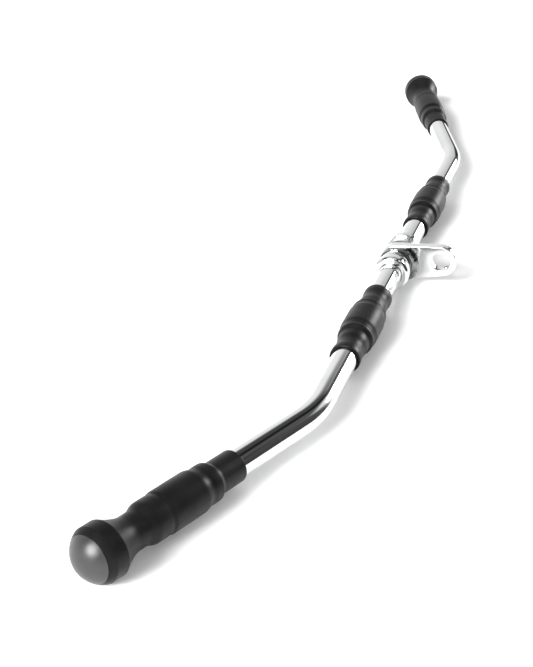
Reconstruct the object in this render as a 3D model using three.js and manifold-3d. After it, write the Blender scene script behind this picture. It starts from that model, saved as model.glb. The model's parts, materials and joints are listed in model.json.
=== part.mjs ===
// A bar for a lat pulldown machine: a bent, chromed tube with a hanger that revolves at its middle.
// Two rubber grips sit inboard. Two more sit on the arms and swell into knobs with domed caps.
// Millimetres, +Z up. X runs along the bar's straight middle, the arms bend toward -Y,
// the hanger's eye points to +Y, and the bar lies on the floor at Z = 0.

import * as THREE from "three";
import { mergeVertices } from "three/addons/utils/BufferGeometryUtils.js";
import Module from "manifold-3d";

const wasm = await Module();
wasm.setup();

// Fits
const seatGap = 0.3; // between a piece and what holds it
const runningGap = 0.3; // between the hanger's turning pieces and the fixed ones
const overrun = 1; // how far a cutting shape passes what it cuts

// Facets round a piece
const wideSides = 28;
const hubSides = 24;
const smallSides = 16;
const socketSides = 6;
const bendSteps = 6;
const easeSteps = 2;
const flareSteps = 4;
const roundSteps = 2;
const knobSteps = 6;
const domeSteps = 5;

// Tube
const tubeRadius = 12.5;
const tubeWall = 2.5;
const middleHalfLength = 331.4; // from the bar's middle to the corner of a bend
const armTubeLength = 250; // from that corner to the tube's cut end
const armAngle = THREE.MathUtils.degToRad(20.6);
const bendRadius = 130;

// Hanger
const sleeveRadius = 17.4;
const sleeveHalfLength = 21.5;
const sleeveChamfer = 1;
const plateThickness = 10;
const plateChamfer = 1.1;
const plateHubRadius = 20.2;
const eyeDistance = 48.2;
const eyeEndRadius = 17;
const eyeHoleRadius = 10;
const weldLength = 6.5; // along the sleeve
const weldRadius = 24.5; // how far the weld spreads on the plate, where the plate is as wide
const weldInset = 0.4; // how far it stops short of the plate's chamfer
const hangerPitch = THREE.MathUtils.degToRad(12.6); // how far the eye stands up from level

// Bushings, washers and stop collars
const bushingWall = 1.9;
const bushingLength = 16;
const bushingFlangeRadius = 17.4;
const bushingFlangeThickness = 2;
const thrustWasherRadius = 18.5;
const thrustWasherThickness = 1.6;
const stopCollarRadius = 19.5;
const stopCollarLength = 11.5;
const stopCollarRound = 4;
const stopCollarChamfer = 0.8;
const setScrewRadius = 2.5;
const setScrewSocketRadius = 1.4;
const setScrewSocketDepth = 3;
const setScrewSunk = 0.6; // below the collar's rim

// Inner grips, from each end: a lip, a waist, a collar, a ring, a dip and half of the barrel
const gripEdgeRound = 1;
const innerGripStart = 94; // from the bar's middle
const innerGripLength = 137;
const innerLipRadius = 15;
const innerLipLength = 5;
const innerWaistRadius = 13.9;
const innerWaistLength = 3;
const innerWaistFlank = 10.5; // on either side of the waist
const innerCollarRadius = 15.1;
const innerCollarLength = 6;
const innerRingRadius = 17.9;
const innerRingRise = 6;
const innerRingLength = 1;
const innerDipDepth = 0.3;
const innerDipHalfWidth = 2.5;
const innerBarrelRadius = 19;
const innerBarrelRise = 7;

// Outer grips: a straight collar, a ring, a dip, the barrel, a crease, the heel and a straight neck
const outerGripCover = 137; // how much of the tube's end one covers
const outerCollarRadius = 14.4;
const outerCollarLength = 26;
const outerRingRadius = 17.2;
const outerRingRise = 7;
const outerRingLength = 5;
const outerDipRadius = 16.9;
const outerDipFall = 4;
const outerBarrelRadius = 18.7;
const outerBarrelRise = 10;
const creaseDepth = 0.3;
const creaseHalfWidth = 4;
const heelRadius = 18;
const heelLength = 9;
const heelFall = 11;
const neckRadius = 15;
const neckLength = 9;
const neckSetback = 13; // from the neck's far end to the tube's cut end

// Knobs and what they hold
const knobRadius = 25;
const knobCentre = 12.2; // beyond the tube's cut end
const knobBandRadius = 23.4;
const knobBandStart = 3.2; // back from the ball's centre
const knobFlareHollow = 1.5; // the power of the hollow curve from the neck to the band
const knobRim = 14.8; // where the rubber ends, beyond the ball's centre
const capSeatRadius = 18.3;
const capSkirtLength = 11;
const capWall = 2.2;
const plugLength = 12;
const screwRadius = 3.9;
const screwHeadRadius = 6.5;
const screwHeadLength = 6;
const screwSocketRadius = 3.4;
const screwSocketDepth = 4;
const screwTipPast = 3; // how far the screw's tip stands past the plug
const retainingWasherThickness = 2.5;

// Finishes
const chrome = { color: 0xd6d8da, roughness: 0.12, metalness: 1 };
const steel = { color: 0x9a9da0, roughness: 0.4, metalness: 1 };
const rubber = { color: 0x161617, roughness: 0.5, metalness: 0 };
const plastic = { color: 0x232425, roughness: 0.35, metalness: 0 };
const blackOxide = { color: 0x1c1c1e, roughness: 0.45, metalness: 0.8 };

// Sizes that follow
const boreRadius = tubeRadius + seatGap;
const tubeInnerRadius = tubeRadius - tubeWall;
const bushingBore = tubeRadius + runningGap;
const bushingRadius = bushingBore + bushingWall;
const sleeveBore = bushingRadius + seatGap;
const plateBore = sleeveRadius + seatGap;
const weldFoot = plateThickness / 2 + seatGap;
const bushingFlangeStart = sleeveHalfLength + seatGap;
const bushingFlangeEnd = bushingFlangeStart + bushingFlangeThickness;
const thrustWasherStart = bushingFlangeEnd + runningGap;
const thrustWasherEnd = thrustWasherStart + thrustWasherThickness;
const stopCollarStart = thrustWasherEnd + runningGap;
const stopCollarEnd = stopCollarStart + stopCollarLength;
const outerGripStart = armTubeLength - outerGripCover; // from the corner of the bend
const outerGripLength = outerGripCover + knobCentre + knobRim;
const knobPlace = outerGripCover + knobCentre; // the ball's centre, from the grip's inner end
const neckEnd = outerGripCover - neckSetback;
const heelEnd = neckEnd - neckLength - heelFall;
const outerBarrelEnd = heelEnd - heelLength - 2 * creaseHalfWidth;
const washerRadius = capSeatRadius - seatGap;
const screwHeadStart = retainingWasherThickness + 2 * seatGap; // beyond the tube's cut end

const xAxis = new THREE.Vector3(1, 0, 0);
const yAxis = new THREE.Vector3(0, 1, 0);
const zAxis = new THREE.Vector3(0, 0, 1);

// An outline of a turned piece, as points of distance along the axis and radius.
class Outline {
  constructor(along, radius) {
    this.points = [[along, radius]];
  }

  to(along, radius) {
    this.points.push([along, radius]);
    return this;
  }

  // An S-shaped swell from the last point.
  ease(along, radius, steps = easeSteps) {
    const [fromAlong, fromRadius] = this.points.at(-1);
    for (let step = 1; step <= steps; step += 1) {
      const share = step / steps;
      const lift = (1 - Math.cos(Math.PI * share)) / 2;
      this.to(fromAlong + (along - fromAlong) * share, fromRadius + (radius - fromRadius) * lift);
    }
    return this;
  }

  // A rounded corner: it sets off square to the axis and arrives along it, or the other way round.
  round(along, radius, leavesSquare) {
    const [fromAlong, fromRadius] = this.points.at(-1);
    for (let step = 1; step <= roundSteps; step += 1) {
      const angle = (Math.PI / 2) * (step / roundSteps);
      const slow = 1 - Math.cos(angle);
      const fast = Math.sin(angle);
      const alongShare = leavesSquare ? slow : fast;
      const radiusShare = leavesSquare ? fast : slow;
      this.to(fromAlong + (along - fromAlong) * alongShare, fromRadius + (radius - fromRadius) * radiusShare);
    }
    return this;
  }

  // Part of a ball about a point of the axis, from the last point to a distance past that centre.
  ball(centre, radius, endPastCentre, steps) {
    const [startAlong, startRadius] = this.points.at(-1);
    const startAngle = Math.atan2(startRadius, startAlong - centre);
    const endAngle = Math.acos(endPastCentre / radius);
    for (let step = 1; step <= steps; step += 1) {
      const angle = startAngle + (endAngle - startAngle) * (step / steps);
      this.to(centre + radius * Math.cos(angle), radius * Math.sin(angle));
    }
    return this;
  }

  // A hollow curve that leaves along the axis and steepens.
  flare(along, radius) {
    const [fromAlong, fromRadius] = this.points.at(-1);
    for (let step = 1; step <= flareSteps; step += 1) {
      const share = step / flareSteps;
      const swell = (radius - fromRadius) * share ** knobFlareHollow;
      this.to(fromAlong + (along - fromAlong) * share, fromRadius + swell);
    }
    return this;
  }

  // Goes on for a length and ends at a radius, straight or in an S-shaped swell.
  straight(length, radius = this.points.at(-1)[1]) {
    return this.to(this.points.at(-1)[0] + length, radius);
  }

  swell(length, radius) {
    return this.ease(this.points.at(-1)[0] + length, radius);
  }
}

// Turns an outline about X. Its first point is met again, unless both ends lie on the axis.
function turned(points, sides = wideSides) {
  const loop = points.map(([along, radius]) => new THREE.Vector2(radius, along));
  const area = loop.reduce((sum, point, i) => sum + point.cross(loop[(i + 1) % loop.length]), 0);
  if (area < 0) loop.reverse();
  if (loop[0].x > 0 || loop.at(-1).x > 0) loop.push(loop[0].clone());
  return new THREE.LatheGeometry(loop, sides).rotateZ(-Math.PI / 2);
}

function solidOf(geometry) {
  const bare = geometry.clone();
  bare.deleteAttribute("normal");
  bare.deleteAttribute("uv");
  const merged = mergeVertices(bare);
  return new wasm.Manifold(
    new wasm.Mesh({
      numProp: 3,
      vertProperties: merged.attributes.position.array,
      triVerts: new Uint32Array(merged.index.array),
    }),
  );
}

function geometryOf(solid) {
  const mesh = solid.getMesh();
  const geometry = new THREE.BufferGeometry();
  geometry.setAttribute("position", new THREE.BufferAttribute(new Float32Array(mesh.vertProperties), 3));
  geometry.setIndex(new THREE.BufferAttribute(new Uint32Array(mesh.triVerts), 1));
  geometry.computeVertexNormals();
  return geometry;
}

const cut = (body, tool) => geometryOf(solidOf(body).subtract(solidOf(tool)));

function piece(name, geometry, finish) {
  const mesh = new THREE.Mesh(geometry, new THREE.MeshStandardMaterial(finish));
  mesh.name = name;
  return mesh;
}

// The tube's centre line. Equal steps fall on its stations, so that a straight takes one step.
class BentAxis extends THREE.Curve {
  constructor(stations) {
    super();
    this.stations = stations;
  }

  getPoint(t, target = new THREE.Vector3()) {
    const place = t * (this.stations.length - 1);
    const from = Math.min(Math.floor(place), this.stations.length - 2);
    return target.copy(this.stations[from]).lerp(this.stations[from + 1], place - from);
  }

  getUtoTmapping(u) {
    return u;
  }
}

function armStations(side) {
  const bendStart = middleHalfLength - bendRadius * Math.tan(armAngle / 2);
  const stations = [];
  for (let step = 0; step <= bendSteps; step += 1) {
    const angle = armAngle * (step / bendSteps);
    const x = bendStart + bendRadius * Math.sin(angle);
    stations.push(new THREE.Vector3(side * x, bendRadius * (Math.cos(angle) - 1), 0));
  }
  const endX = middleHalfLength + armTubeLength * Math.cos(armAngle);
  stations.push(new THREE.Vector3(side * endX, -armTubeLength * Math.sin(armAngle), 0));
  return stations;
}

function tube() {
  const section = new THREE.Shape().absarc(0, 0, tubeRadius, 0, 2 * Math.PI);
  section.holes.push(new THREE.Path().absarc(0, 0, tubeInnerRadius, 0, 2 * Math.PI));
  const axis = new BentAxis([...armStations(-1).reverse(), ...armStations(1)]);
  const steps = axis.stations.length - 1;
  return new THREE.ExtrudeGeometry(section, { steps, extrudePath: axis, curveSegments: wideSides / 2 });
}

function hangerSleeve() {
  const outline = new Outline(-sleeveHalfLength, sleeveBore)
    .to(-sleeveHalfLength, sleeveRadius - sleeveChamfer)
    .to(-sleeveHalfLength + sleeveChamfer, sleeveRadius)
    .to(sleeveHalfLength - sleeveChamfer, sleeveRadius)
    .to(sleeveHalfLength, sleeveRadius - sleeveChamfer)
    .to(sleeveHalfLength, sleeveBore);
  return turned(outline.points, hubSides);
}

// The hanger's plate in outline: a ring about the sleeve, the eye's round end, and flanks that touch both.
function linkShape(inset) {
  const flank = Math.acos((plateHubRadius - eyeEndRadius) / eyeDistance);
  return new THREE.Shape()
    .absarc(0, 0, plateHubRadius - inset, flank, 2 * Math.PI - flank)
    .absarc(eyeDistance, 0, eyeEndRadius - inset, -flank, flank)
    .closePath();
}

// Stands a flat shape, extruded from its own plane, square to the bar with its own X toward the eye.
const standing = (geometry) => geometry.applyMatrix4(new THREE.Matrix4().makeBasis(yAxis, zAxis, xAxis));

function eyePlate() {
  const link = linkShape(0);
  link.holes.push(new THREE.Path().absarc(0, 0, plateBore, 0, 2 * Math.PI));
  link.holes.push(new THREE.Path().absarc(eyeDistance, 0, eyeHoleRadius, 0, 2 * Math.PI));
  const depth = plateThickness - 2 * plateChamfer;
  const geometry = new THREE.ExtrudeGeometry(link, {
    depth,
    bevelThickness: plateChamfer,
    bevelSize: plateChamfer,
    bevelOffset: -plateChamfer,
    bevelSegments: 1,
    curveSegments: hubSides / 2,
  });
  return standing(geometry.translate(0, 0, -depth / 2));
}

// A hollow-faced fillet weld between the plate and the sleeve, trimmed where the plate is narrow.
function weldBead() {
  const outline = new Outline(weldFoot, plateBore)
    .to(weldFoot, weldRadius)
    .round(weldFoot + weldLength, plateBore, false);
  const trim = new THREE.ExtrudeGeometry(linkShape(plateChamfer + weldInset), {
    depth: weldFoot + weldLength + overrun,
    bevelEnabled: false,
    curveSegments: hubSides / 2,
  });
  return geometryOf(solidOf(turned(outline.points, hubSides)).intersect(solidOf(standing(trim))));
}

function bushing() {
  const outline = new Outline(bushingFlangeStart - bushingLength, bushingBore)
    .to(bushingFlangeStart - bushingLength, bushingRadius)
    .to(bushingFlangeStart, bushingRadius)
    .to(bushingFlangeStart, bushingFlangeRadius)
    .to(bushingFlangeEnd, bushingFlangeRadius)
    .to(bushingFlangeEnd, bushingBore);
  return turned(outline.points, hubSides);
}

function thrustWasher() {
  const outline = new Outline(thrustWasherStart, boreRadius)
    .to(thrustWasherStart, thrustWasherRadius)
    .to(thrustWasherEnd, thrustWasherRadius)
    .to(thrustWasherEnd, boreRadius);
  return turned(outline.points, hubSides);
}

// Turns a piece from X to the set screw's way, which is straight toward -Y through the stop collar.
const asSetScrew = (geometry) =>
  geometry.rotateZ(-Math.PI / 2).translate(stopCollarStart + stopCollarLength / 2, 0, 0);

function stopCollar() {
  const outline = new Outline(stopCollarStart, boreRadius)
    .to(stopCollarStart, stopCollarRadius - stopCollarChamfer)
    .to(stopCollarStart + stopCollarChamfer, stopCollarRadius)
    .to(stopCollarEnd - stopCollarRound, stopCollarRadius)
    .round(stopCollarEnd, stopCollarRadius - stopCollarRound, false)
    .to(stopCollarEnd, boreRadius);
  const drillRadius = setScrewRadius + seatGap;
  const drill = new Outline(0, 0)
    .to(0, drillRadius)
    .to(stopCollarRadius + overrun, drillRadius)
    .to(stopCollarRadius + overrun, 0);
  return cut(turned(outline.points, hubSides), asSetScrew(turned(drill.points, smallSides)));
}

function socket(radius, mouth, depth) {
  const tool = new Outline(mouth - depth, 0)
    .to(mouth - depth, radius)
    .to(mouth + overrun, radius)
    .to(mouth + overrun, 0);
  return turned(tool.points, socketSides);
}

function setScrew() {
  const top = stopCollarRadius - setScrewSunk;
  const body = new Outline(boreRadius, 0)
    .to(boreRadius, setScrewRadius)
    .to(top, setScrewRadius)
    .to(top, 0);
  const tool = socket(setScrewSocketRadius, top, setScrewSocketDepth);
  return asSetScrew(cut(turned(body.points, smallSides), tool));
}

// A grip's end face and the rounded edge of its collar or lip.
const gripEnd = (radius) =>
  new Outline(0, boreRadius).to(0, radius - gripEdgeRound).round(gripEdgeRound, radius, true);

function innerGrip() {
  const half = gripEnd(innerLipRadius)
    .to(innerLipLength, innerLipRadius)
    .swell(innerWaistFlank, innerWaistRadius)
    .straight(innerWaistLength)
    .swell(innerWaistFlank, innerCollarRadius)
    .straight(innerCollarLength)
    .swell(innerRingRise, innerRingRadius)
    .straight(innerRingLength)
    .straight(innerDipHalfWidth, innerRingRadius - innerDipDepth)
    .straight(innerDipHalfWidth, innerRingRadius)
    .swell(innerBarrelRise, innerBarrelRadius).points;
  const mirrored = half.map(([along, radius]) => [innerGripLength - along, radius]);
  return turned([...half, ...mirrored.reverse()]);
}

function outerGrip() {
  const bandStart = knobPlace - knobBandStart;
  const bandEnd = knobPlace + Math.sqrt(knobRadius ** 2 - knobBandRadius ** 2);
  const outline = gripEnd(outerCollarRadius)
    .to(outerCollarLength, outerCollarRadius)
    .swell(outerRingRise, outerRingRadius)
    .straight(outerRingLength)
    .swell(outerDipFall, outerDipRadius)
    .swell(outerBarrelRise, outerBarrelRadius)
    .to(outerBarrelEnd, outerBarrelRadius)
    .straight(creaseHalfWidth, heelRadius - creaseDepth)
    .straight(creaseHalfWidth, heelRadius)
    .straight(heelLength)
    .swell(heelFall, neckRadius)
    .to(neckEnd, neckRadius)
    .flare(bandStart, knobBandRadius)
    .to(bandEnd, knobBandRadius)
    .ball(knobPlace, knobRadius, knobRim, knobSteps)
    .to(outerGripLength, capSeatRadius)
    .to(outerGripCover, capSeatRadius)
    .to(outerGripCover, boreRadius);
  return turned(outline.points);
}

// The pieces in a knob are measured from the tube's cut end.
function endPlug() {
  const radius = tubeInnerRadius - seatGap;
  const hole = screwRadius + seatGap;
  const outline = new Outline(-plugLength, hole).to(-plugLength, radius).to(0, radius).to(0, hole);
  return turned(outline.points, hubSides);
}

function retainingWasher() {
  const start = seatGap;
  const end = seatGap + retainingWasherThickness;
  const hole = screwRadius + seatGap;
  const outline = new Outline(start, hole).to(start, washerRadius).to(end, washerRadius).to(end, hole);
  return turned(outline.points, hubSides);
}

function retainingScrew() {
  const tip = -plugLength - screwTipPast;
  const top = screwHeadStart + screwHeadLength;
  const outline = new Outline(tip, 0)
    .to(tip, screwRadius)
    .to(screwHeadStart, screwRadius)
    .to(screwHeadStart, screwHeadRadius)
    .to(top, screwHeadRadius)
    .to(top, 0);
  return cut(turned(outline.points, smallSides), socket(screwSocketRadius, top, screwSocketDepth));
}

// A dome whose skirt plugs into the knob and whose edge covers the end of the rubber.
function endCap() {
  const edge = knobCentre + knobRim + seatGap;
  const edgeRadius = Math.sqrt(knobRadius ** 2 - (knobRim + seatGap) ** 2);
  const skirtRadius = capSeatRadius - seatGap;
  const hollowRadius = skirtRadius - capWall;
  const hollowTop = edge + seatGap;
  const outline = new Outline(edge - capSkirtLength, hollowRadius)
    .to(edge - capSkirtLength, skirtRadius)
    .to(edge, skirtRadius)
    .to(edge, edgeRadius)
    .ball(knobCentre, knobRadius, knobRadius, domeSteps);
  outline.to(hollowTop, 0).to(hollowTop, hollowRadius);
  return turned(outline.points);
}

// The arms' outer ends rise a little, because the knobs' bands are wider than what the middle lies on.
const axisHeight = Math.max(plateHubRadius, stopCollarRadius, innerBarrelRadius);
const bandSetback = (armTubeLength + knobCentre - knobBandStart) * Math.sin(armAngle);
const armRise = Math.asin((knobBandRadius - axisHeight) / bandSetback);

const bar = new THREE.Group();
bar.rotation.x = -armRise;
bar.add(piece("bar_tube", tube(), chrome));

const hanger = new THREE.Group();
hanger.rotation.x = hangerPitch;
hanger.add(piece("hanger_sleeve", hangerSleeve(), chrome));
hanger.add(piece("eye_plate", eyePlate(), chrome));

for (const [side, hand] of [[1, "right"], [-1, "left"]]) {
  const faceOut = side > 0 ? 0 : Math.PI;

  const hub = new THREE.Group();
  hub.rotation.y = faceOut;
  hub.add(piece(`weld_bead_${hand}`, weldBead(), chrome));
  hub.add(piece(`bushing_${hand}`, bushing(), steel));
  hanger.add(hub);

  const inboard = new THREE.Group();
  inboard.rotation.y = faceOut;
  inboard.add(piece(`thrust_washer_${hand}`, thrustWasher(), steel));
  inboard.add(piece(`stop_collar_${hand}`, stopCollar(), chrome));
  inboard.add(piece(`set_screw_${hand}`, setScrew(), blackOxide));
  bar.add(inboard);

  const inner = piece(`inner_grip_${hand}`, innerGrip(), rubber);
  inner.position.x = side > 0 ? innerGripStart : -innerGripStart - innerGripLength;
  bar.add(inner);

  const arm = new THREE.Group();
  arm.position.x = side * middleHalfLength;
  arm.rotation.z = faceOut - side * armAngle;
  const outer = piece(`outer_grip_${hand}`, outerGrip(), rubber);
  outer.position.x = outerGripStart;
  arm.add(outer);

  const knob = new THREE.Group();
  knob.position.x = armTubeLength;
  knob.add(piece(`end_plug_${hand}`, endPlug(), steel));
  knob.add(piece(`retaining_washer_${hand}`, retainingWasher(), steel));
  knob.add(piece(`retaining_screw_${hand}`, retainingScrew(), blackOxide));
  knob.add(piece(`end_cap_${hand}`, endCap(), plastic));
  arm.add(knob);
  bar.add(arm);
}

// The origin is under the middle of the whole part, on the floor.
const part = new THREE.Group();
part.add(bar, hanger);
part.updateMatrixWorld(true);
const extent = new THREE.Box3().setFromObject(part, true);
part.position.set(-(extent.min.x + extent.max.x) / 2, -(extent.min.y + extent.max.y) / 2, -extent.min.z);

export default part;
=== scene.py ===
"""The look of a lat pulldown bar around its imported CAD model.

Lengths are in millimetres, as in the part's source, unless a comment says metres. Each piece is placed in the
row frame, which is in metres.
"""

import json
import math

import bmesh
import bpy
from mathutils import Matrix, Vector


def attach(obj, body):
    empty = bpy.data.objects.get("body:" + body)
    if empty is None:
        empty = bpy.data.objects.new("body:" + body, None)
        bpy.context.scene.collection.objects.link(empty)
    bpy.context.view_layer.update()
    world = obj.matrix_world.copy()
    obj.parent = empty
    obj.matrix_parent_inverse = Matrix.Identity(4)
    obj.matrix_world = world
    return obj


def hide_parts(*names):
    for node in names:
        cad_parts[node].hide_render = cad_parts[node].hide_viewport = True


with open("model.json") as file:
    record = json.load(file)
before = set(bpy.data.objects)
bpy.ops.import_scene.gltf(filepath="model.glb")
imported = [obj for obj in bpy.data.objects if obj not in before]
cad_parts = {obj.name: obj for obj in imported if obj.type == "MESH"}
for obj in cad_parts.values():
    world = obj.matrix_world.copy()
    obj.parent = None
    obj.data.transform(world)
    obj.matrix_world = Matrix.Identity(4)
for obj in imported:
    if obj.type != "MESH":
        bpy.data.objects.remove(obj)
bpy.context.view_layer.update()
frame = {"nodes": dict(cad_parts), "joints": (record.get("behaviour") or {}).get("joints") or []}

MM = 0.001
HANDS = ((1, "right"), (-1, "left"))

# Sizes that repeat the part's source
SEAT_GAP = 0.3
TUBE_RADIUS = 12.5
TUBE_WALL = 2.5
MIDDLE_HALF = 331.4
ARM_TUBE = 250
ARM_ANGLE = math.radians(20.6)
BEND_RADIUS = 130
SLEEVE_RADIUS = 17.4
SLEEVE_HALF = 21.5
PLATE_THICKNESS = 10
PLATE_HUB_RADIUS = 20.2
EYE_DISTANCE = 48.2
EYE_END_RADIUS = 17
EYE_HOLE_RADIUS = 10
WELD_LENGTH = 6.5
WELD_RADIUS = 24.5
HANGER_PITCH = math.radians(12.6)
BUSHING_WALL = 1.9
BUSHING_LENGTH = 16
BUSHING_FLANGE_RADIUS = 17.4
BUSHING_FLANGE = 2
THRUST_WASHER_RADIUS = 18.5
THRUST_WASHER = 1.6
STOP_COLLAR_RADIUS = 19.5
STOP_COLLAR = 11.5
STOP_COLLAR_ROUND = 4
SET_SCREW_RADIUS = 2.5
SET_SCREW_SOCKET = 1.4
SET_SCREW_SOCKET_DEPTH = 3
SET_SCREW_SUNK = 0.6
GRIP_EDGE_ROUND = 1
INNER_START = 94
INNER_LENGTH = 137
INNER_LIP_RADIUS = 15
INNER_LIP = 5
INNER_WAIST_RADIUS = 13.9
INNER_WAIST = 3
INNER_WAIST_FLANK = 10.5
INNER_COLLAR_RADIUS = 15.1
INNER_COLLAR = 6
INNER_RING_RADIUS = 17.9
INNER_RING_RISE = 6
INNER_RING = 1
INNER_DIP_DEPTH = 0.3
INNER_DIP_HALF = 2.5
INNER_BARREL_RADIUS = 19
INNER_BARREL_RISE = 7
OUTER_COVER = 137
OUTER_COLLAR_RADIUS = 14.4
OUTER_COLLAR = 26
OUTER_RING_RADIUS = 17.2
OUTER_RING_RISE = 7
OUTER_RING = 5
OUTER_DIP_RADIUS = 16.9
OUTER_DIP_FALL = 4
OUTER_BARREL_RADIUS = 18.7
OUTER_BARREL_RISE = 10
CREASE_DEPTH = 0.3
CREASE_HALF = 4
HEEL_RADIUS = 18
HEEL = 9
HEEL_FALL = 11
NECK_RADIUS = 15
NECK = 9
NECK_SETBACK = 13
KNOB_RADIUS = 25
KNOB_CENTRE = 12.2
KNOB_BAND_RADIUS = 23.4
KNOB_BAND_START = 3.2
KNOB_FLARE_HOLLOW = 1.5
KNOB_RIM = 14.8
CAP_SEAT_RADIUS = 18.3
CAP_SKIRT = 11
CAP_WALL = 2.2

BORE = TUBE_RADIUS + SEAT_GAP
BUSHING_RADIUS = BORE + BUSHING_WALL
SLEEVE_BORE = BUSHING_RADIUS + SEAT_GAP
PLATE_BORE = SLEEVE_RADIUS + SEAT_GAP
WELD_FOOT = PLATE_THICKNESS / 2 + SEAT_GAP
FLANGE_START = SLEEVE_HALF + SEAT_GAP
WASHER_START = FLANGE_START + BUSHING_FLANGE + SEAT_GAP
COLLAR_START = WASHER_START + THRUST_WASHER + SEAT_GAP
COLLAR_END = COLLAR_START + STOP_COLLAR

# Where the bar's straight axis lies, and how far the arms rise from it
_, AXIS_Y, AXIS_Z = frame["joints"][0]["pos_m"]
BAND_SETBACK = (ARM_TUBE + KNOB_CENTRE - KNOB_BAND_START) * math.sin(ARM_ANGLE)
ARM_RISE = math.asin((KNOB_BAND_RADIUS - PLATE_HUB_RADIUS) / BAND_SETBACK)
TO_ROW = Matrix.Translation((0, AXIS_Y, AXIS_Z)) @ Matrix.Scale(MM, 4)
BAR = TO_ROW @ Matrix.Rotation(-ARM_RISE, 4, "X")
HANGER = TO_ROW @ Matrix.Rotation(HANGER_PITCH, 4, "X")


def facing(side):
    """A half turn for what is on the left."""
    return Matrix.Rotation(0 if side > 0 else math.pi, 4, "Y")


def arm(side):
    """The frame of an arm: the origin at the bend's corner, X toward the arm's end."""
    turn = (0 if side > 0 else math.pi) - side * ARM_ANGLE
    return BAR @ Matrix.Translation((side * MIDDLE_HALF, 0, 0)) @ Matrix.Rotation(turn, 4, "Z")


def added(name, data):
    """A new object in the scene."""
    made = bpy.data.objects.new(name, data)
    bpy.context.scene.collection.objects.link(made)
    return made


# Camera: fitted to the bends, rims, tube widths and domes of the photograph

CAMERA_FOCAL_PX = 1272.4
CAMERA_LONG_SIDE_PX = 667
CAMERA_SENSOR = 36
CAMERA_AZIMUTH = math.radians(105.662)
CAMERA_ELEVATION = math.radians(29.202)
CAMERA_ROLL = math.radians(-4.15)
CAMERA_FROM_AXIS = (1249.5, 207.6, 600.94)
CAMERA_CLIP = (0.01, 50)  # in metres


def make_camera():
    data = bpy.data.cameras.new("camera")
    data.lens = CAMERA_FOCAL_PX / CAMERA_LONG_SIDE_PX * CAMERA_SENSOR
    data.sensor_width = CAMERA_SENSOR
    data.clip_start, data.clip_end = CAMERA_CLIP
    camera = added("camera", data)
    flat = math.cos(CAMERA_ELEVATION)
    ahead = Vector((-math.sin(CAMERA_AZIMUTH) * flat, math.cos(CAMERA_AZIMUTH) * flat,
                    -math.sin(CAMERA_ELEVATION)))
    level = ahead.cross(Vector((0, 0, 1))).normalized()
    down = ahead.cross(level)
    right = math.cos(CAMERA_ROLL) * level + math.sin(CAMERA_ROLL) * down
    up = math.sin(CAMERA_ROLL) * level - math.cos(CAMERA_ROLL) * down
    turn = Matrix((right, up, -ahead)).transposed().to_4x4()
    camera.matrix_world = Matrix.Translation(TO_ROW @ Vector(CAMERA_FROM_AXIS)) @ turn
    bpy.context.scene.camera = camera


# Outlines and meshes

EASE_STEPS = 10
FLARE_STEPS = 14
BALL_STEPS = 20
CORNER_STEPS = 4
CORNER_LEAST_TURN = math.radians(14)
CORNER_EDGE_SHARE = 0.45  # how much of an edge a rounded corner may take
MERGE_DISTANCE = 0.0005
SHARP_TURN = math.radians(40)


class Outline:
    """Points of a turned piece, as distance along the axis and radius."""

    def __init__(self, along, radius):
        self.points = [(along, radius)]

    def to(self, along, radius):
        self.points.append((along, radius))
        return self

    def straight(self, length):
        along, radius = self.points[-1]
        return self.to(along + length, radius)

    def swell(self, length, radius):
        """An S-shaped rise or fall from the last point."""
        from_along, from_radius = self.points[-1]
        for step in range(1, EASE_STEPS + 1):
            share = step / EASE_STEPS
            lift = (1 - math.cos(math.pi * share)) / 2
            self.to(from_along + length * share, from_radius + (radius - from_radius) * lift)
        return self

    def flare(self, along, radius):
        """A hollow curve that leaves along the axis and steepens."""
        from_along, from_radius = self.points[-1]
        for step in range(1, FLARE_STEPS + 1):
            share = step / FLARE_STEPS
            self.to(from_along + (along - from_along) * share,
                    from_radius + (radius - from_radius) * share ** KNOB_FLARE_HOLLOW)
        return self

    def quarter(self, along, radius, steps, outward):
        """A quarter round to a point. It leaves outward from the axis, or else along it."""
        from_along, from_radius = self.points[-1]
        for step in range(1, steps + 1):
            angle = math.pi / 2 * step / steps
            early, late = math.sin(angle), 1 - math.cos(angle)
            along_share, radius_share = (late, early) if outward else (early, late)
            self.to(from_along + (along - from_along) * along_share,
                    from_radius + (radius - from_radius) * radius_share)
        return self

    def ball(self, centre, radius, end_past_centre, steps=BALL_STEPS):
        """Part of a ball about a point of the axis, to a distance past that centre."""
        start_along, start_radius = self.points[-1]
        start = math.atan2(start_radius, start_along - centre)
        end = math.acos(end_past_centre / radius)
        for step in range(1, steps + 1):
            angle = start + (end - start) * step / steps
            self.to(centre + radius * math.cos(angle), radius * math.sin(angle))
        return self


def softened(points, radius):
    """A closed outline with each corner sharper than a limit rounded, at most by a radius."""
    made = []
    for i, point in enumerate(points):
        here = Vector(point)
        back = Vector(points[i - 1]) - here
        on = Vector(points[(i + 1) % len(points)]) - here
        turn = math.pi - back.angle(on)
        if turn < CORNER_LEAST_TURN:
            made.append(point)
            continue
        room = min(back.length, on.length) * CORNER_EDGE_SHARE
        reach = min(radius * math.tan(turn / 2), room)
        start = here + back.normalized() * reach
        end = here + on.normalized() * reach
        for step in range(CORNER_STEPS + 1):
            share = step / CORNER_STEPS
            spot = start * (1 - share) ** 2 + here * 2 * share * (1 - share) + end * share ** 2
            made.append((spot.x, spot.y))
    return made


def skin(bm, row, after, closed=True):
    """Joins two rows of corners with faces."""
    count = len(row)
    for k in range(count if closed else count - 1):
        m = (k + 1) % count
        bm.faces.new((row[k], row[m], after[m], after[k]))


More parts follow.
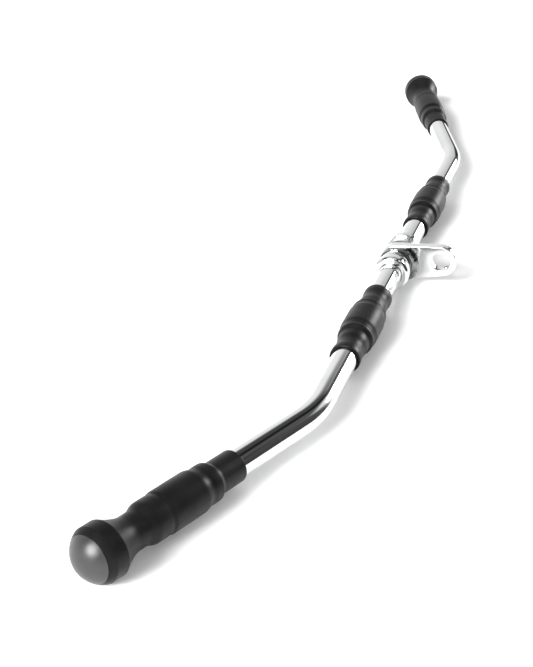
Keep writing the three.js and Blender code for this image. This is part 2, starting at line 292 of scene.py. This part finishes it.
def turned(outline, sides):
    """A solid turned about X. Its last point joins its first, unless both lie on the axis.

    The outline is a list of points, or a function that gives them for an angle round the axis."""
    bm = bmesh.new()
    rings = []
    for step in range(sides):
        angle = 2 * math.pi * step / sides
        points = outline(angle) if callable(outline) else outline
        rings.append([bm.verts.new((x, r * math.cos(angle), r * math.sin(angle))) for x, r in points])
    on_axis = points[0][1] == 0 and points[-1][1] == 0
    for ring, after in zip(rings, rings[1:] + rings[:1]):
        skin(bm, ring, after, closed=not on_axis)
    return bm


def finished(name, bm, place, body, slot, node, look=None, sharp=SHARP_TURN):
    """Makes a piece of a mesh in millimetres, parents it to the body it rides on and hides the node it stands
    for.

    Its material is the look of its slot, unless it has a look of its own."""
    bmesh.ops.remove_doubles(bm, verts=bm.verts, dist=MERGE_DISTANCE)
    bmesh.ops.dissolve_degenerate(bm, edges=bm.edges, dist=MERGE_DISTANCE)
    bm.transform(place)
    bmesh.ops.recalc_face_normals(bm, faces=bm.faces)
    mesh = bpy.data.meshes.new(name)
    bm.to_mesh(mesh)
    bm.free()
    mesh.polygons.foreach_set("use_smooth", [True] * len(mesh.polygons))
    mesh.set_sharp_from_angle(angle=sharp)
    mesh.materials.append(materials[look or slot])
    piece = added(name, mesh)
    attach(piece, body)
    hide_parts(node)


# Nodes of materials and the world

TEXTURE_LOW = 0.3  # a noise's values from here to TEXTURE_HIGH are spread over a range
TEXTURE_HIGH = 0.7


def grey(level):
    return (level, level, level, 1)


def fill(tree, node, inputs):
    """Sets each input to a value, or links it to an output."""
    for socket, value in inputs.items():
        if isinstance(value, bpy.types.NodeSocket):
            tree.links.new(value, node.inputs[socket])
        else:
            node.inputs[socket].default_value = value


def outputs_of(tree, kind, inputs, **settings):
    """Adds a node and gives its outputs."""
    node = tree.nodes.new(kind)
    for key, value in settings.items():
        setattr(node, key, value)
    fill(tree, node, inputs)
    return node.outputs


def ramp(tree, value, stops, interpolation):
    """A colour by a value between 0 and 1."""
    node = tree.nodes.new("ShaderNodeValToRGB")
    node.color_ramp.interpolation = interpolation
    elements = node.color_ramp.elements
    for place, _ in stops[1:-1]:
        elements.new(place)
    for element, (place, colour) in zip(elements, stops):
        element.position = place
        element.color = colour
    fill(tree, node, {"Fac": value})
    return node.outputs["Color"]


def mixed(tree, blend, first, second, share=1):
    """Blends two colours, the whole of the second or a share of it."""
    inputs = {"Factor": share, "A": first, "B": second}
    return outputs_of(tree, "ShaderNodeMix", inputs, data_type="RGBA", blend_type=blend)["Result"]


def new_material(name):
    material = bpy.data.materials.new(name)
    material.use_nodes = True
    return material, material.node_tree, material.node_tree.nodes["Principled BSDF"]


# Materials

# Each noise is its scale, detail and roughness, and each bump a noise, its depth in metres and its strength
LOOKS = {
    "chrome": {
        "shade_noise": (18, 4, 0.5),
        "shades": ((0.80, 0.805, 0.81), (0.88, 0.885, 0.89)),
        "rough_noise": (45, 6, 0.6),
        "rough": (0.035, 0.09),
        "bumps": [((60, 2, 0.5), 0.0002, 0.05)],
        "shader": {"Metallic": 1},
    },
    # The weld's dark shades are painted dark reflection: they stand in for the dark surroundings that its
    # chrome mirrors, and the chrome itself is as pale as the rest of the hub.
    "weld_painted_dark_reflection": {
        "shade_noise": (120, 4, 0.5),
        "shades": ((0.10, 0.10, 0.103), (0.34, 0.342, 0.346)),
        "rough_noise": (200, 6, 0.6),
        "rough": (0.10, 0.2),
        "bumps": [((500, 4, 0.5), 0.0003, 0.2)],
        "shader": {"Metallic": 1},
    },
    "rubber": {
        "shade_noise": (40, 6, 0.6),
        "shades": ((0.004, 0.004, 0.0042), (0.010, 0.010, 0.0103)),
        "rough_noise": (90, 6, 0.65),
        "rough": (0.35, 0.45),
        "bumps": [((70, 3, 0.5), 0.0006, 0.10), ((1500, 4, 0.6), 0.00012, 0.25)],
        "shader": {"Specular IOR Level": 0.16},
    },
    "cap_plastic": {
        "shade_noise": (60, 5, 0.5),
        "shades": ((0.021, 0.021, 0.0214), (0.029, 0.029, 0.0294)),
        "rough_noise": (120, 5, 0.5),
        "rough": (0.31, 0.37),
        "bumps": [((900, 3, 0.5), 0.00002, 0.15)],
        "shader": {"Specular IOR Level": 0.8},
    },
    "zinc_steel": {
        "shade_noise": (150, 6, 0.6),
        "shades": ((0.52, 0.53, 0.54), (0.68, 0.69, 0.70)),
        "rough_noise": (250, 6, 0.6),
        "rough": (0.2, 0.34),
        "bumps": [((1200, 4, 0.5), 0.00008, 0.2)],
        "shader": {"Metallic": 1},
    },
    "black_steel": {
        "shade_noise": (150, 6, 0.6),
        "shades": ((0.02, 0.02, 0.022), (0.05, 0.05, 0.052)),
        "rough_noise": (250, 6, 0.6),
        "rough": (0.3, 0.45),
        "bumps": [((1200, 4, 0.5), 0.00008, 0.2)],
        "shader": {"Metallic": 0.6},
    },
}


def make_material(name, shade_noise, shades, rough_noise, rough, bumps, shader):
    """A material whose colour, roughness and bumps come from noise."""
    material, tree, principled = new_material(name)
    place = outputs_of(tree, "ShaderNodeTexCoord", {})["Object"]

    def noise(scale, detail, roughness):
        inputs = {"Vector": place, "Scale": scale, "Detail": detail, "Roughness": roughness}
        return outputs_of(tree, "ShaderNodeTexNoise", inputs)["Fac"]

    dark, light = shades
    stops = ((TEXTURE_LOW, (*dark, 1)), (TEXTURE_HIGH, (*light, 1)))
    smoothest, roughest = rough
    spread = {"Value": noise(*rough_noise), "From Min": TEXTURE_LOW, "From Max": TEXTURE_HIGH,
              "To Min": smoothest, "To Max": roughest}
    inputs = {"Base Color": ramp(tree, noise(*shade_noise), stops, "LINEAR"),
              "Roughness": outputs_of(tree, "ShaderNodeMapRange", spread)["Result"]}
    for texture, depth, strength in bumps:
        bump = {"Height": noise(*texture), "Distance": depth, "Strength": strength}
        if "Normal" in inputs:
            bump["Normal"] = inputs["Normal"]
        inputs["Normal"] = outputs_of(tree, "ShaderNodeBump", bump)["Normal"]
    fill(tree, principled, inputs | shader)
    return material


materials = {name: make_material(name, **look) for name, look in LOOKS.items()}


# Tube

TUBE_SIDES = 96
BEND_STEPS = 48


def make_tube():
    bend_start = MIDDLE_HALF - BEND_RADIUS * math.tan(ARM_ANGLE / 2)
    stations = []
    for step in range(BEND_STEPS + 1):
        angle = ARM_ANGLE * step / BEND_STEPS
        back = BEND_RADIUS * (math.cos(angle) - 1)
        stations.append((bend_start + BEND_RADIUS * math.sin(angle), back, angle))
    end_x = MIDDLE_HALF + ARM_TUBE * math.cos(ARM_ANGLE)
    stations.append((end_x, -ARM_TUBE * math.sin(ARM_ANGLE), ARM_ANGLE))
    left = [(-x, y, -angle) for x, y, angle in reversed(stations)]
    bm = bmesh.new()
    outer, inner = [], []
    for x, y, angle in left + stations:
        for wall, radius in ((outer, TUBE_RADIUS), (inner, TUBE_RADIUS - TUBE_WALL)):
            row = []
            for step in range(TUBE_SIDES):
                turn = 2 * math.pi * step / TUBE_SIDES
                out = radius * math.cos(turn)
                spot = (x + out * math.sin(angle), y + out * math.cos(angle), radius * math.sin(turn))
                row.append(bm.verts.new(spot))
            wall.append(row)
    for wall in (outer, inner):
        for row, after in zip(wall, wall[1:]):
            skin(bm, row, after)
    for end in (0, -1):
        skin(bm, outer[end], inner[end])
    finished("tube", bm, BAR, "bar", "chrome", "bar_tube")


# Hub

HUB_SIDES = 96
HUB_EDGE = 0.35
SLEEVE_EDGE = 0.9
COLLAR_EDGE = 0.6
COLLAR_ROUND_STEPS = 12


def hub_piece(name, outline, place, body, slot, node, edge=HUB_EDGE):
    points = softened(outline.points, edge)
    finished(name, turned(points, HUB_SIDES), place, body, slot, node)


def make_sleeve():
    outline = Outline(-SLEEVE_HALF, SLEEVE_BORE).to(-SLEEVE_HALF, SLEEVE_RADIUS)
    outline.to(SLEEVE_HALF, SLEEVE_RADIUS).to(SLEEVE_HALF, SLEEVE_BORE)
    hub_piece("sleeve", outline, HANGER, "hanger", "chrome", "hanger_sleeve", SLEEVE_EDGE)


def make_bushing(side, hand):
    inner = FLANGE_START - BUSHING_LENGTH
    outer = FLANGE_START + BUSHING_FLANGE
    outline = Outline(inner, BORE).to(inner, BUSHING_RADIUS).to(FLANGE_START, BUSHING_RADIUS)
    outline.to(FLANGE_START, BUSHING_FLANGE_RADIUS).to(outer, BUSHING_FLANGE_RADIUS).to(outer, BORE)
    place = HANGER @ facing(side)
    hub_piece(f"flanged_bushing_{hand}", outline, place, "hanger", "zinc_steel", f"bushing_{hand}")


def make_thrust_washer(side, hand):
    end = WASHER_START + THRUST_WASHER
    outline = Outline(WASHER_START, BORE).to(WASHER_START, THRUST_WASHER_RADIUS)
    outline.to(end, THRUST_WASHER_RADIUS).to(end, BORE)
    place = BAR @ facing(side)
    hub_piece(f"washer_{hand}", outline, place, "bar", "zinc_steel", f"thrust_washer_{hand}")


def make_stop_collar(side, hand):
    outline = Outline(COLLAR_START, BORE).to(COLLAR_START, STOP_COLLAR_RADIUS)
    outline.to(COLLAR_END - STOP_COLLAR_ROUND, STOP_COLLAR_RADIUS)
    outline.quarter(COLLAR_END, STOP_COLLAR_RADIUS - STOP_COLLAR_ROUND, COLLAR_ROUND_STEPS, outward=False)
    outline.to(COLLAR_END, BORE)
    place = BAR @ facing(side)
    hub_piece(f"shaft_collar_{hand}", outline, place, "bar", "chrome", f"stop_collar_{hand}", COLLAR_EDGE)


# Eye plate and its welds

PLATE_HUB_STEPS = 72
PLATE_EYE_STEPS = 56
HOLE_SIDES = 96
PLATE_EDGE = 1.1
PLATE_EDGE_STEPS = 5
PLATE_SHARP_TURN = math.radians(30)
WELD_TRIM = 1.5  # how far a weld stops short of the plate's edge, where the plate is narrow
WELD_SIDES = 240
WELD_RIPPLES = 26
WELD_RIPPLE_DEPTH = 0.12
WELD_CURVE_STEPS = 12
WELD_SHARP_TURN = math.radians(60)


def arc(centre, radius, start, end, steps):
    """Points of an arc about a point of the plate's middle line, with both its ends."""
    points = []
    for step in range(steps + 1):
        angle = start + (end - start) * step / steps
        points.append((centre + radius * math.cos(angle), radius * math.sin(angle)))
    return points


def flank_angle():
    """Where the plate's straight flanks touch its two round ends."""
    return math.acos((PLATE_HUB_RADIUS - EYE_END_RADIUS) / EYE_DISTANCE)


def plate_outline(inset):
    """The plate's outline in its own plane, the eye toward +X."""
    flank = flank_angle()
    hub = arc(0, PLATE_HUB_RADIUS - inset, flank, 2 * math.pi - flank, PLATE_HUB_STEPS)
    return hub + arc(EYE_DISTANCE, EYE_END_RADIUS - inset, -flank, flank, PLATE_EYE_STEPS)


def hole_outline(centre, radius, inset):
    return arc(centre, radius + inset, 0, 2 * math.pi, HOLE_SIDES)[:-1]


def make_eye_plate():
    half = PLATE_THICKNESS / 2
    bm = bmesh.new()
    loops = (plate_outline, lambda inset: hole_outline(0, PLATE_BORE, inset),
             lambda inset: hole_outline(EYE_DISTANCE, EYE_HOLE_RADIUS, inset))
    steps = range(PLATE_EDGE_STEPS + 1)
    rims = {1: [], -1: []}
    for outline in loops:
        rows = []
        for side in (-1, 1):
            for step in steps if side < 0 else reversed(steps):
                angle = math.pi / 2 * step / PLATE_EDGE_STEPS
                inset = PLATE_EDGE * (1 - math.sin(angle))
                x = side * (half - PLATE_EDGE * (1 - math.cos(angle)))
                rows.append([bm.verts.new((x, u, w)) for u, w in outline(inset)])
        for row, after in zip(rows, rows[1:]):
            skin(bm, row, after)
        for side, row in ((-1, rows[0]), (1, rows[-1])):
            rims[side] += [bm.edges.get(corners) for corners in zip(row, row[1:] + row[:1])]
    for rim in rims.values():
        bmesh.ops.triangle_fill(bm, edges=rim, use_beauty=True, use_dissolve=False)
    finished("hanger_plate", bm, HANGER, "hanger", "chrome", "eye_plate", sharp=PLATE_SHARP_TURN)


def plate_reach(angle, inset):
    """How far the plate's inset outline lies from the sleeve's axis in a direction; 0 is toward the eye."""
    flank = flank_angle()
    angle = abs((angle + math.pi) % (2 * math.pi) - math.pi)
    hub = PLATE_HUB_RADIUS - inset
    if angle >= flank:
        return hub
    return hub / math.cos(flank - angle)


def make_weld(side, hand):
    """A hollow-faced fillet with the ripples of a hand-laid bead, trimmed where the plate is narrow."""
    spread = WELD_RADIUS - PLATE_BORE

    def bead(angle):
        foot = min(WELD_RADIUS, plate_reach(angle, WELD_TRIM))
        ripple = WELD_RIPPLE_DEPTH * abs(math.cos(WELD_RIPPLES / 2 * angle))
        points = [(WELD_FOOT, PLATE_BORE), (WELD_FOOT, foot)]
        start = math.acos(1 - min(1, (WELD_RADIUS - foot) / spread))
        for step in range(WELD_CURVE_STEPS + 1):
            share = step / WELD_CURVE_STEPS
            turn = start + (math.pi / 2 - start) * share
            radius = WELD_RADIUS - spread * (1 - math.cos(turn))
            along = WELD_FOOT + WELD_LENGTH * math.sin(turn)
            sunk = ripple * math.sin(math.pi * share)
            points.append((along - sunk, radius - sunk))
        return points

    # The weld's look has dark shades that are painted dark reflection.
    finished(f"fillet_weld_{hand}", turned(bead, WELD_SIDES), HANGER @ facing(side), "hanger", "chrome",
             f"weld_bead_{hand}", "weld_painted_dark_reflection", WELD_SHARP_TURN)


# Screws

SET_SCREW_SIDES = 48
SET_SCREW_CHAMFER = 0.25
SET_SCREW_SHARP_TURN = math.radians(30)
HEXAGON_HALF_SIDE = math.pi / 6


def make_set_screw(side, hand):
    """A socket set screw, straight toward -Y through the stop collar."""
    top = STOP_COLLAR_RADIUS - SET_SCREW_SUNK
    floor = top - SET_SCREW_SOCKET_DEPTH

    def socketed(angle):
        sector = (angle + HEXAGON_HALF_SIDE) % (2 * HEXAGON_HALF_SIDE) - HEXAGON_HALF_SIDE
        flat = SET_SCREW_SOCKET * math.cos(HEXAGON_HALF_SIDE) / math.cos(sector)
        return [(BORE, 0), (BORE, SET_SCREW_RADIUS), (top - SET_SCREW_CHAMFER, SET_SCREW_RADIUS),
                (top, SET_SCREW_RADIUS - SET_SCREW_CHAMFER), (top, flat), (floor, flat), (floor, 0)]

    place = BAR @ facing(side) @ Matrix.Translation((COLLAR_START + STOP_COLLAR / 2, 0, 0))
    place = place @ Matrix.Rotation(-math.pi / 2, 4, "Z")
    finished(f"socket_screw_{hand}", turned(socketed, SET_SCREW_SIDES), place, "bar", "black_steel",
             f"set_screw_{hand}", sharp=SET_SCREW_SHARP_TURN)


# Grips and knobs

GRIP_SIDES = 128
GRIP_EDGE = 0.5
GRIP_ROUND_STEPS = 8
DOME_STEPS = 28


def grip_end(radius):
    """A grip's end face and the rounded edge of its collar or lip."""
    outline = Outline(0, BORE).to(0, radius - GRIP_EDGE_ROUND)
    return outline.quarter(GRIP_EDGE_ROUND, radius, GRIP_ROUND_STEPS, outward=True)


def make_inner_grip(side, hand):
    half = grip_end(INNER_LIP_RADIUS).to(INNER_LIP, INNER_LIP_RADIUS)
    half.swell(INNER_WAIST_FLANK, INNER_WAIST_RADIUS).straight(INNER_WAIST)
    half.swell(INNER_WAIST_FLANK, INNER_COLLAR_RADIUS).straight(INNER_COLLAR)
    half.swell(INNER_RING_RISE, INNER_RING_RADIUS).straight(INNER_RING)
    half.swell(INNER_DIP_HALF, INNER_RING_RADIUS - INNER_DIP_DEPTH).swell(INNER_DIP_HALF, INNER_RING_RADIUS)
    half.swell(INNER_BARREL_RISE, INNER_BARREL_RADIUS)
    mirrored = [(INNER_LENGTH - x, r) for x, r in half.points]
    points = softened(half.points + mirrored[::-1], GRIP_EDGE)
    place = BAR @ Matrix.Translation((INNER_START if side > 0 else -INNER_START - INNER_LENGTH, 0, 0))
    finished(f"moulded_inner_grip_{hand}", turned(points, GRIP_SIDES), place, "bar", "rubber",
             f"inner_grip_{hand}")


def make_outer_grip(side, hand):
    knob = OUTER_COVER + KNOB_CENTRE
    neck_end = OUTER_COVER - NECK_SETBACK
    barrel_end = neck_end - NECK - HEEL_FALL - HEEL - 2 * CREASE_HALF
    outline = grip_end(OUTER_COLLAR_RADIUS).to(OUTER_COLLAR, OUTER_COLLAR_RADIUS)
    outline.swell(OUTER_RING_RISE, OUTER_RING_RADIUS).straight(OUTER_RING)
    outline.swell(OUTER_DIP_FALL, OUTER_DIP_RADIUS).swell(OUTER_BARREL_RISE, OUTER_BARREL_RADIUS)
    outline.to(barrel_end, OUTER_BARREL_RADIUS)
    outline.swell(CREASE_HALF, HEEL_RADIUS - CREASE_DEPTH).swell(CREASE_HALF, HEEL_RADIUS).straight(HEEL)
    outline.swell(HEEL_FALL, NECK_RADIUS).to(neck_end, NECK_RADIUS)
    outline.flare(knob - KNOB_BAND_START, KNOB_BAND_RADIUS)
    outline.to(knob + math.sqrt(KNOB_RADIUS ** 2 - KNOB_BAND_RADIUS ** 2), KNOB_BAND_RADIUS)
    outline.ball(knob, KNOB_RADIUS, KNOB_RIM)
    outline.to(knob + KNOB_RIM, CAP_SEAT_RADIUS).to(OUTER_COVER, CAP_SEAT_RADIUS).to(OUTER_COVER, BORE)
    points = softened(outline.points, GRIP_EDGE)
    place = arm(side) @ Matrix.Translation((ARM_TUBE - OUTER_COVER, 0, 0))
    finished(f"moulded_outer_grip_{hand}", turned(points, GRIP_SIDES), place, "bar", "rubber",
             f"outer_grip_{hand}")


def make_end_cap(side, hand):
    edge = KNOB_CENTRE + KNOB_RIM + SEAT_GAP
    edge_radius = math.sqrt(KNOB_RADIUS ** 2 - (KNOB_RIM + SEAT_GAP) ** 2)
    skirt = CAP_SEAT_RADIUS - SEAT_GAP
    inside = skirt - CAP_WALL
    outline = Outline(edge - CAP_SKIRT, inside).to(edge - CAP_SKIRT, skirt).to(edge, skirt)
    outline.to(edge, edge_radius).ball(KNOB_CENTRE, KNOB_RADIUS, KNOB_RADIUS, DOME_STEPS)
    outline.points[-1] = (KNOB_CENTRE + KNOB_RADIUS, 0)  # exactly on the axis
    outline.to(edge + SEAT_GAP, 0).to(edge + SEAT_GAP, inside)
    place = arm(side) @ Matrix.Translation((ARM_TUBE, 0, 0))
    finished(f"domed_cap_{hand}", turned(outline.points, GRIP_SIDES), place, "bar", "cap_plastic",
             f"end_cap_{hand}")


# Studio

FLOOR_LEVEL = 0.92
FLOOR_ROUGHNESS = 0.9
FLOOR_SPECULAR = 0.1
FLOOR_LIFT = 0.12  # a glow that makes the lit floor white where it is looked at
FLOOR_RADIUS = 12  # in metres
FLOOR_SIDES = 96

# Levels of the world by the height of a direction, and by how far it points toward +Y
WORLD_BY_HEIGHT = ((0.0, 1.0), (0.44, 0.97), (0.60, 0.10), (0.77, 0.08), (0.88, 0.95), (1.0, 1.0))
WORLD_BY_SIDE = ((0.0, 0.80), (0.25, 1.0), (0.565, 0.68), (0.61, 0.10), (0.665, 0.10), (0.70, 1.0),
                 (0.77, 1.0), (0.87, 0.08), (1.0, 0.05))
WORLD_DIFFUSE = 0.38
SUN_FROM = (0.79, -0.35, 0.50)
SUN_ANGLE = math.radians(18)
SUN_STRENGTH = 3.4
# Round fields of the world: blend, direction, levels inside and outside, and the angles where a field's edge
# starts to fade and ends. The first is a dark card, the others are softboxes.
WORLD_FIELDS = (("MULTIPLY", (-0.98, 0.11, 0.165), 0.1, 1, math.radians(5), math.radians(9)),
                ("ADD", SUN_FROM, 17, 0, math.radians(11), math.radians(21)),
                ("ADD", (-0.849, 0.471, 0.239), 16, 0, math.radians(6), math.radians(12)))


def make_floor():
    """A white sheet on which the part lies. It shows as white where nothing shades it."""
    material, tree, principled = new_material("floor")
    path = outputs_of(tree, "ShaderNodeLightPath", {})
    seen = path["Is Camera Ray"]
    for ray in ("Is Glossy Ray", "Is Transmission Ray"):
        seen = outputs_of(tree, "ShaderNodeMath", {0: seen, 1: path[ray]}, operation="MAXIMUM")[0]
    lift = outputs_of(tree, "ShaderNodeMath", {0: seen, 1: FLOOR_LIFT}, operation="MULTIPLY")[0]
    fill(tree, principled, {
        "Base Color": grey(FLOOR_LEVEL), "Roughness": FLOOR_ROUGHNESS, "Specular IOR Level": FLOOR_SPECULAR,
        "Emission Color": grey(1), "Emission Strength": lift})
    mesh = bpy.data.meshes.new("floor")
    bm = bmesh.new()
    bmesh.ops.create_circle(bm, cap_ends=True, segments=FLOOR_SIDES, radius=FLOOR_RADIUS)
    bm.to_mesh(mesh)
    bm.free()
    mesh.materials.append(material)
    added("floor", mesh)


def world_ramp(tree, value, stops):
    """A level by a value between 0 and 1."""
    return ramp(tree, value, [(place, grey(level)) for place, level in stops], "EASE")


def world_field(tree, direction, towards, inside, outside, full, faded):
    """The level of a round field with a soft edge."""
    near = outputs_of(tree, "ShaderNodeVectorMath", {0: direction, 1: Vector(towards).normalized()},
                      operation="DOT_PRODUCT")
    inputs = {"Value": near["Value"], "From Min": math.cos(faded), "From Max": math.cos(full),
              "To Min": outside, "To Max": inside}
    return outputs_of(tree, "ShaderNodeMapRange", inputs, interpolation_type="SMOOTHSTEP")["Result"]


def make_world():
    """White to the camera and plain grey as a light.

    Glossy surfaces see it pale low down, dark in a band above that and bright overhead, with a thin dark
    strip and a dark far side toward +Y, and with the round fields."""
    world = bpy.data.worlds.new("studio")
    bpy.context.scene.world = world
    world.use_nodes = True
    tree = world.node_tree
    direction = outputs_of(tree, "ShaderNodeTexCoord", {})["Generated"]
    split = outputs_of(tree, "ShaderNodeSeparateXYZ", {0: direction})
    side = outputs_of(tree, "ShaderNodeMapRange", {"Value": split["Y"], "From Min": -1})["Result"]
    seen = mixed(tree, "MULTIPLY", world_ramp(tree, split["Z"], WORLD_BY_HEIGHT),
                 world_ramp(tree, side, WORLD_BY_SIDE))
    for blend, *field in WORLD_FIELDS:
        seen = mixed(tree, blend, seen, world_field(tree, direction, *field))
    path = outputs_of(tree, "ShaderNodeLightPath", {})
    seen = mixed(tree, "MIX", seen, grey(WORLD_DIFFUSE), path["Is Diffuse Ray"])
    seen = mixed(tree, "MIX", seen, grey(1), path["Is Camera Ray"])
    fill(tree, tree.nodes["Background"], {"Color": seen})


def make_key_lamp():
    """A sun that lights and shades. Glossy surfaces see the world's softboxes in its place."""
    data = bpy.data.lights.new("key", "SUN")
    data.angle = SUN_ANGLE
    data.energy = SUN_STRENGTH
    lamp = added("key", data)
    turn = Vector(SUN_FROM).to_track_quat("Z", "Y").to_matrix().to_4x4()
    lamp.matrix_world = Matrix.Translation(SUN_FROM) @ turn
    lamp.visible_glossy = False


make_camera()
make_tube()
make_sleeve()
make_eye_plate()
for side, hand in HANDS:
    make_weld(side, hand)
    make_bushing(side, hand)
    make_thrust_washer(side, hand)
    make_stop_collar(side, hand)
    make_set_screw(side, hand)
    make_inner_grip(side, hand)
    make_outer_grip(side, hand)
    make_end_cap(side, hand)
    for node, look in (("end_plug", "zinc_steel"), ("retaining_washer", "zinc_steel"),
                       ("retaining_screw", "black_steel")):
        frame["nodes"][f"{node}_{hand}"].data.materials[0] = materials[look]
make_floor()
make_world()
make_key_lamp()
bpy.context.scene.view_settings.view_transform = "Standard"
